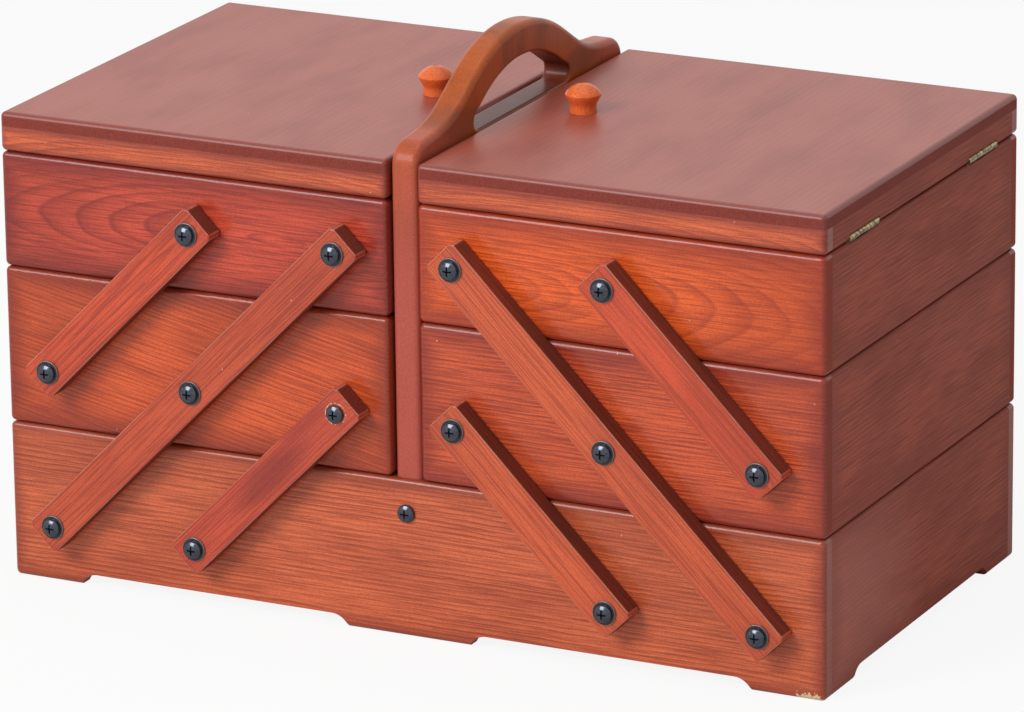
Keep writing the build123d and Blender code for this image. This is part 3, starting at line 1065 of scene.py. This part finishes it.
class Wooden:
    """A sub-assembly of wooden boards."""

    def boards(self) -> list[Board]:
        """Every board of the sub-assembly, one for each of its nodes."""
        raise NotImplementedError

    def dress(self, nodes: dict[str, bpy.types.Object]) -> set[str]:
        """Dresses every board of the sub-assembly.

        Args:
            nodes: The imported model's nodes by name.

        Returns:
            The names of the dressed nodes.
        """
        boards = self.boards()
        for board in boards:
            board.dress(nodes[board.name])
        return {board.name for board in boards}


@dataclass
class Base(Wooden):
    """The base: front, back, two ends and a plywood bottom."""

    worn_corner: Chip = Chip((212 * MM, -116 * MM, 0.0), (9 * MM, 5 * MM, 4.5 * MM), 0.9)
    worn_foot: Chip = Chip((-219 * MM, -116 * MM, 1 * MM), (2 * MM, 3 * MM, 4 * MM))
    front_rings: Figure = Figure(
        -500 * MM, -60 * MM, 2.5 * MM, tilt=0.02, ripple=0.8 * MM, seed=4.4
    )
    # Painted light from the floor: a paler, pinker patch on the end panels towards the front and
    # the bottom.
    floor_light: Patch = Patch(
        -88 * MM, 30 * MM, 75 * MM, 60 * MM, stain(196, 124, 112), 0.45
    )

    def boards(self) -> list[Board]:
        """The base's four boards.

        Returns:
            The boards.
        """
        front, end, floor = Sawn.FRONT.value, Sawn.END.value, Sawn.FLOOR.value
        chips, patches = (self.worn_corner, self.worn_foot), (self.floor_light,)
        return [
            Board("base_front_panel", Finishes.BASE, front, self.front_rings, chips=chips),
            Board("base_back_panel", Finishes.BASE, front, straight(0.0, 1)),
            # The end panels carry the painted floor light.
            Board("base_end_panels", Finishes.END, end, straight(0.0, 2), patches),
            Board("base_bottom_panel", Finishes.PLYWOOD, floor, straight(0.0, 3)),
        ]


@dataclass
class Handle(Wooden):
    """The handle board: two posts, a bar and an arch over the finger hole."""

    ring_spacing: float = 5 * MM
    pink_post: Patch = Patch(
        108 * MM, 100 * MM, 150 * MM, 40 * MM, stain(186, 88, 76), 0.95
    )
    olive_shoulder: Patch = Patch(
        246 * MM, 66 * MM, 7 * MM, 20 * MM, stain(104, 56, 30), 0.5
    )
    # Painted shade: the inner sides of the finger hole are toned dark, where little light reaches.
    dark_hole: Patch = Patch(
        245 * MM, 0.0, 18 * MM, 64 * MM, stain(92, 40, 36), 0.92, half_depth=6.9 * MM
    )

    def boards(self) -> list[Board]:
        """The handle board, stained alike on its two sides.

        Returns:
            The one board.
        """
        patches: list[Patch] = []
        for patch in (self.pink_post, self.olive_shoulder):
            patches += [patch, replace(patch, across=-patch.across)]
        # Painted shade inside the finger hole.
        patches.append(self.dark_hole)
        rings = straight(0.0, 4, self.ring_spacing)
        return [
            Board("handle_frame", Finishes.HANDLE, Sawn.POST.value, rings, tuple(patches))
        ]


@dataclass
class MiddleTray(Wooden):
    """The middle tray of one side."""

    side: Side
    middle: float = 80 * MM
    left_dark_end: Patch = Patch(
        -212 * MM, 122 * MM, 46 * MM, 60 * MM, Finishes.LEFT_MID.rim, 0.26
    )
    left_rings: Figure = Figure(
        -300 * MM, 250 * MM, 2.3 * MM, tilt=0.03, slope=0.2, wander=2 * MM, seed=12.2
    )
    right_rings: Figure = Figure(
        400 * MM, 20 * MM, 2.2 * MM, tilt=0.03, wander=2.4 * MM, ripple=0.8 * MM, seed=17.9
    )

    def boards(self) -> list[Board]:
        """The tray's boards, with the left one's front darker at its outer end.

        Returns:
            The boards.
        """
        finish, rings, patches = Finishes.RIGHT_MID, self.right_rings, ()
        if self.side is Side.LEFT:
            finish, rings, patches = Finishes.LEFT_MID, self.left_rings, (self.left_dark_end,)
        front, end, floor = Sawn.FRONT.value, Sawn.END.value, Sawn.FLOOR.value
        name, shift = f"{self.side.word}_mid_tray", self.side.shift
        return [
            Board(f"{name}_front", finish, front, rings, patches),
            Board(f"{name}_back", finish, front, straight(self.middle, 5 + shift)),
            Board(f"{name}_ends", Finishes.END, end, straight(self.middle, 6 + shift)),
            Board(f"{name}_bottom", Finishes.PLYWOOD, floor, straight(0.0, 7 + shift)),
        ]


@dataclass
class TopTray(Wooden):
    """The top tray of one side."""

    side: Side
    middle: float = 160 * MM
    right_dark_end: Patch = Patch(
        212 * MM, 190 * MM, 52 * MM, 50 * MM, Finishes.RIGHT_TOP.rim, 0.3
    )
    left_rings: Figure = Figure(
        -46 * MM, 200 * MM, 3.2 * MM, tilt=0.17, wander=8 * MM, ripple=1.0 * MM, seed=3.1
    )
    right_rings: Figure = Figure(
        60 * MM, 192 * MM, 3.6 * MM, tilt=0.20, wander=9 * MM, ripple=1.0 * MM, seed=7.7
    )

    def boards(self) -> list[Board]:
        """The tray's boards, with the front darker at its outer end.

        Returns:
            The boards.
        """
        finish, rings, patch = Finishes.RIGHT_TOP, self.right_rings, self.right_dark_end
        if self.side is Side.LEFT:
            finish, rings = Finishes.LEFT_TOP, self.left_rings
            patch = replace(patch, along=-patch.along, tone=finish.rim)
        front, end, floor = Sawn.FRONT.value, Sawn.END.value, Sawn.FLOOR.value
        name, shift = f"{self.side.word}_top_tray", self.side.shift
        return [
            Board(f"{name}_front", finish, front, rings, (patch,)),
            Board(f"{name}_back", finish, front, straight(self.middle, 8 + shift)),
            Board(f"{name}_inner_end", Finishes.END, end, straight(self.middle, 9 + shift)),
            Board(f"{name}_outer_end", Finishes.END, end, straight(self.middle, 10 + shift)),
            Board(f"{name}_bottom", Finishes.PLYWOOD, floor, straight(0.0, 11 + shift)),
        ]


@dataclass
class Lid(Wooden):
    """The lid of one side: a board on four rails, and its knob."""

    side: Side
    panel_spacing: float = 4 * MM
    rail_across: float = 200 * MM
    long_rail_heart: float = 90 * MM
    long_rail_height: float = 219 * MM
    long_rail_spacing: float = 2.2 * MM
    long_rail_tilt: float = 0.12
    long_rail_seed: float = 3.1

    def boards(self) -> list[Board]:
        """The lid's boards and its knob.

        Returns:
            The boards.
        """
        word, shift = self.side.word, self.side.shift
        long_rings = Figure(
            self.side.value * self.long_rail_heart,
            self.long_rail_height,
            self.long_rail_spacing,
            self.long_rail_tilt,
            seed=(13 + shift) * self.long_rail_seed,
        )
        panel_rings = straight(0.0, 12 + shift, self.panel_spacing)
        front, end = Sawn.FRONT.value, Sawn.END.value
        inner, outer = (straight(self.rail_across, number + shift) for number in (14, 15))
        return [
            Board(f"{word}_lid_panel", Finishes.LID, Sawn.LID.value, panel_rings),
            Board(f"{word}_lid_long_rails", Finishes.LID_RAIL, front, long_rings),
            Board(f"{word}_lid_inner_rail", Finishes.END, end, inner),
            Board(f"{word}_lid_outer_rail", Finishes.END, end, outer),
            Board(f"{word}_knob", Finishes.KNOB, Sawn.POST.value, straight(0.0, 16 + shift)),
        ]


class Pivot(Enum):
    """The pivots on the right half of the front, as (place along x, height)."""

    BASE_OUTER = (190.5 * MM, 32.5 * MM)
    BASE_MIDDLE = (111.0 * MM, 32.5 * MM)
    MID_OUTER = (190.5 * MM, 112.5 * MM)
    MID_INNER = (31.5 * MM, 112.5 * MM)
    TOP_MIDDLE = (111.0 * MM, 192.5 * MM)
    TOP_INNER = (31.5 * MM, 192.5 * MM)


class Arm(Enum):
    """The three arms of one side and face, as (lower pivot, upper pivot)."""

    LONG = (Pivot.BASE_OUTER, Pivot.TOP_INNER)
    LOWER = (Pivot.BASE_MIDDLE, Pivot.MID_INNER)
    UPPER = (Pivot.MID_OUTER, Pivot.TOP_MIDDLE)


@dataclass
class Arms(Wooden):
    """The three arms of one side, on the front or on the back.

    The stains' places and reaches are shares of half the way between the arm's pivots.
    """

    side: Side
    face: Face
    far_heart: float = 90 * MM
    grain: float = 1.5 * MM
    grain_tilt: float = 0.01
    grain_wander: float = 1.0 * MM
    bold_heart: float = 3 * MM
    bold_grain: float = 3.4 * MM
    bold_tilt: float = 0.04
    bold_wander: float = 2.4 * MM
    bold_show: float = 0.75
    bold_light: Colour = stain(216, 84, 50)
    low_light: Colour = stain(208, 84, 56)
    low_dark: Colour = stain(158, 54, 40)
    low_stain: Colour = stain(128, 42, 34)
    stain_amount: float = 0.6
    stain_place: float = 0.1
    stain_reach: float = 1 / 2
    stain_half: float = 8 * MM
    edge_stain_place: float = 0.7
    edge_stain_reach: float = 1 / 3
    edge_stain_half: float = 7 * MM
    edge_stain_off: float = 9 * MM
    scar_radius: float = 5.4 * MM
    first_seed: float = 31.7
    arm_seed: float = 9.1
    side_seed: float = 4.3

    def cut(self) -> Cut:
        """The cut of an arm, whose fibres run from its lower pivot to its upper one.

        Returns:
            The cut.
        """
        low, high = Pivot.BASE_OUTER.value, Pivot.TOP_INNER.value
        sign = self.side.value
        run, rise = low[0] - high[0], high[1] - low[1]
        length = math.hypot(run, rise)
        along = (-sign * run / length, 0.0, rise / length)
        across = (sign * rise / length, 0.0, run / length)
        return Cut(along, across, (0.0, 1.0, 0.0))

    def on_arm(self, cut: Cut, pivot: Pivot) -> Span:
        """A pivot's place on an arm of this side.

        Args:
            cut: The arm's cut.
            pivot: The pivot.

        Returns:
            Its place along the arm and across it.
        """
        x, z = self.side.value * pivot.value[0], pivot.value[1]
        along = x * cut.along[0] + z * cut.along[2]
        across = x * cut.across[0] + z * cut.across[2]
        return along, across

    def boards(self) -> list[Board]:
        """The long, lower and upper arm.

        Returns:
            The boards.
        """
        finish = Finishes.ARM if self.side is Side.RIGHT else Finishes.LEFT_ARM
        cut = self.cut()
        made: list[Board] = []
        for number, arm in enumerate(Arm):
            low, high = (self.on_arm(cut, pivot) for pivot in arm.value)
            seed = self.first_seed + self.arm_seed * number
            seed += self.side_seed * self.side.value + self.face.value
            rings = Figure(
                (low[0] + high[0]) / 2,
                low[1] - self.far_heart,
                self.grain,
                self.grain_tilt,
                wander=self.grain_wander,
                seed=seed,
            )
            name = f"{self.side.word}_{self.face.name.lower()}_{arm.name.lower()}_arm"
            board = Board(name, finish, cut, rings)
            if arm is Arm.UPPER:
                self.embolden(board, low[1])
            elif arm is Arm.LOWER and self.side is Side.LEFT:
                self.darken(board, low, high)
            made.append(board)
        return made

    def embolden(self, board: Board, middle: float) -> None:
        """Gives an upper arm bolder rings than the other arms have.

        Args:
            board: The arm.
            middle: Place of its middle line across it.
        """
        board.finish = replace(board.finish, ring_show=self.bold_show, light=self.bold_light)
        board.figure = replace(
            board.figure,
            heart_across=middle + (self.bold_heart if self.side is Side.LEFT else 0.0),
            spacing=self.bold_grain,
            tilt=self.bold_tilt,
            wander=self.bold_wander,
        )

    def darken(self, board: Board, low: Span, high: Span) -> None:
        """Stains the left lower arm, and on the front scars it round its upper pivot.

        Args:
            board: The arm.
            low: Place of its lower pivot along and across it.
            high: Place of its upper pivot along and across it.
        """
        board.finish = replace(board.finish, light=self.low_light, dark=self.low_dark)
        middle = low[1]
        half, centre = (high[0] - low[0]) / 2, (high[0] + low[0]) / 2
        board.patches = (
            Patch(
                centre + half * self.stain_place,
                middle,
                half * self.stain_reach,
                self.stain_half,
                self.low_stain,
                self.stain_amount,
            ),
            Patch(
                centre + half * self.edge_stain_place,
                middle + self.edge_stain_off,
                half * self.edge_stain_reach,
                self.edge_stain_half,
                self.low_dark,
                self.stain_amount,
            ),
        )
        if self.face is Face.FRONT:
            board.scars = ((high[0], middle, self.scar_radius),)


@dataclass(frozen=True)
class Lamp:
    """A rectangular soft lamp: its place, its width and height, and its power."""

    name: str
    place: Axis
    size: Span
    watts: float


@dataclass
class Studio:
    """The floor, the soft lamps, the white surroundings and the camera."""

    lamps: tuple[Lamp, ...] = (
        Lamp("key", (-0.9, -2.0, 1.6), (1.4, 1.1), 44.0),
        Lamp("top", (0.1, 0.1, 2.0), (1.6, 0.8), 7.0),
    )
    aim: Axis = (0.0, 0.0, 0.12)
    world_light: float = 0.34
    floor_half: float = 6.0
    floor_mirrored: float = 0.14
    floor_white: float = 0.9
    floor_grey: float = 0.8
    clip: Span = (0.1, 50.0)
    sensor_mm: float = 36.0
    camera_place: Axis = (1.455, -2.9032, 1.1408)
    camera_pitch: float = 0.3077
    camera_roll: float = -0.0125
    camera_yaw: float = 0.4647
    lens_mm: float = 242.8

    def surroundings(self) -> None:
        """White to the eye and in reflections, and dimmer as light on the object."""
        world = bpy.data.worlds.new("surroundings")
        world.use_nodes = True
        tree = world.node_tree
        tree.nodes.clear()
        path = tree.nodes.new("ShaderNodeLightPath")
        seen = tree.nodes.new("ShaderNodeMath")
        seen.operation = "MAXIMUM"
        tree.links.new(path.outputs["Is Camera Ray"], seen.inputs[0])
        tree.links.new(path.outputs["Is Glossy Ray"], seen.inputs[1])
        either = tree.nodes.new("ShaderNodeMath")
        either.operation = "MAXIMUM"
        tree.links.new(seen.outputs[0], either.inputs[0])
        tree.links.new(path.outputs["Is Transmission Ray"], either.inputs[1])
        strength = tree.nodes.new("ShaderNodeMapRange")
        strength.inputs["To Min"].default_value = self.world_light
        strength.inputs["To Max"].default_value = 1.0
        tree.links.new(either.outputs[0], strength.inputs["Value"])
        shade = tree.nodes.new("ShaderNodeBackground")
        tree.links.new(strength.outputs["Result"], shade.inputs["Strength"])
        shade.inputs["Color"].default_value = (1.0, 1.0, 1.0, 1.0)
        out = tree.nodes.new("ShaderNodeOutputWorld")
        tree.links.new(shade.outputs[0], out.inputs["Surface"])
        bpy.context.scene.world = world

    def floor(self) -> None:
        """A white floor that shows only a soft shadow to the eye."""
        half = self.floor_half
        mesh = bpy.data.meshes.new("floor")
        corners = [(-half, -half, 0), (half, -half, 0), (half, half, 0), (-half, half, 0)]
        mesh.from_pydata(corners, [], [(0, 1, 2, 3)])
        floor = bpy.data.objects.new("floor", mesh)
        bpy.context.scene.collection.objects.link(floor)
        graph = Graph("floor")
        path = graph.add("ShaderNodeLightPath")
        mirrored = graph.math(
            "MAXIMUM", path.outputs["Is Glossy Ray"], path.outputs["Is Transmission Ray"]
        )
        seen = graph.math(
            "MAXIMUM",
            path.outputs["Is Camera Ray"],
            graph.math("MULTIPLY", mirrored, self.floor_mirrored),
        )
        matt = graph.add("ShaderNodeBsdfDiffuse")
        grey = self.floor_grey
        matt.inputs["Color"].default_value = (grey, grey, grey, 1.0)
        glow = graph.add("ShaderNodeEmission")
        glow.inputs["Strength"].default_value = 1.0
        share = graph.span(seen, 0.0, self.floor_white)
        mix = graph.add("ShaderNodeMixShader")
        graph.feed(mix.inputs[0], share)
        graph.tree.links.new(matt.outputs[0], mix.inputs[1])
        graph.tree.links.new(glow.outputs[0], mix.inputs[2])
        graph.tree.links.new(mix.outputs[0], graph.output.inputs["Surface"])
        mesh.materials.append(graph.material)

    def light(self, lamp: Lamp) -> None:
        """Sets up one lamp, which points at the box.

        Args:
            lamp: The lamp.
        """
        data = bpy.data.lights.new(lamp.name, "AREA")
        data.shape = "RECTANGLE"
        data.size, data.size_y = lamp.size
        data.energy = lamp.watts
        placed = bpy.data.objects.new(lamp.name, data)
        bpy.context.scene.collection.objects.link(placed)
        way = Vector(self.aim) - Vector(lamp.place)
        turned = way.to_track_quat("-Z", "Y").to_matrix().to_4x4()
        placed.matrix_world = Matrix.Translation(lamp.place) @ turned

    def camera(self) -> None:
        """The camera at the photograph's place, turned by its yaw, pitch and roll."""
        data = bpy.data.cameras.new("camera")
        data.lens = self.lens_mm
        data.sensor_width = self.sensor_mm
        data.clip_start, data.clip_end = self.clip
        camera = bpy.data.objects.new("camera", data)
        bpy.context.scene.collection.objects.link(camera)
        yaw = Matrix.Rotation(self.camera_yaw, 4, "Z")
        pitch = Matrix.Rotation(math.pi / 2 - self.camera_pitch, 4, "X")
        roll = Matrix.Rotation(self.camera_roll, 4, "Z")
        camera.matrix_world = Matrix.Translation(self.camera_place) @ yaw @ pitch @ roll
        bpy.context.scene.camera = camera

    def build(self) -> None:
        """Sets up the whole studio."""
        bpy.context.scene.view_settings.view_transform = "Standard"
        self.camera()
        self.surroundings()
        self.floor()
        for lamp in self.lamps:
            self.light(lamp)


def main() -> None:
    """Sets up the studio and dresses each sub-assembly in order."""
    logging.basicConfig(level=logging.INFO, format="%(message)s")
    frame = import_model()
    nodes = frame["nodes"]
    Studio().build()
    parts: list[Fastenings | Wooden] = [Fastenings(), Base(), Handle()]
    for side in Side:
        parts += [MiddleTray(side), TopTray(side), Lid(side)]
        parts += [Arms(side, face) for face in Face]
    dressed: set[str] = set()
    for part in parts:
        LOG.info("sub-assembly %s", type(part).__name__)
        dressed |= part.dress(nodes)
    if set(nodes) - dressed:
        raise KeyError(f"no finish is given for {sorted(set(nodes) - dressed)}")


if __name__ == "__main__":
    main()
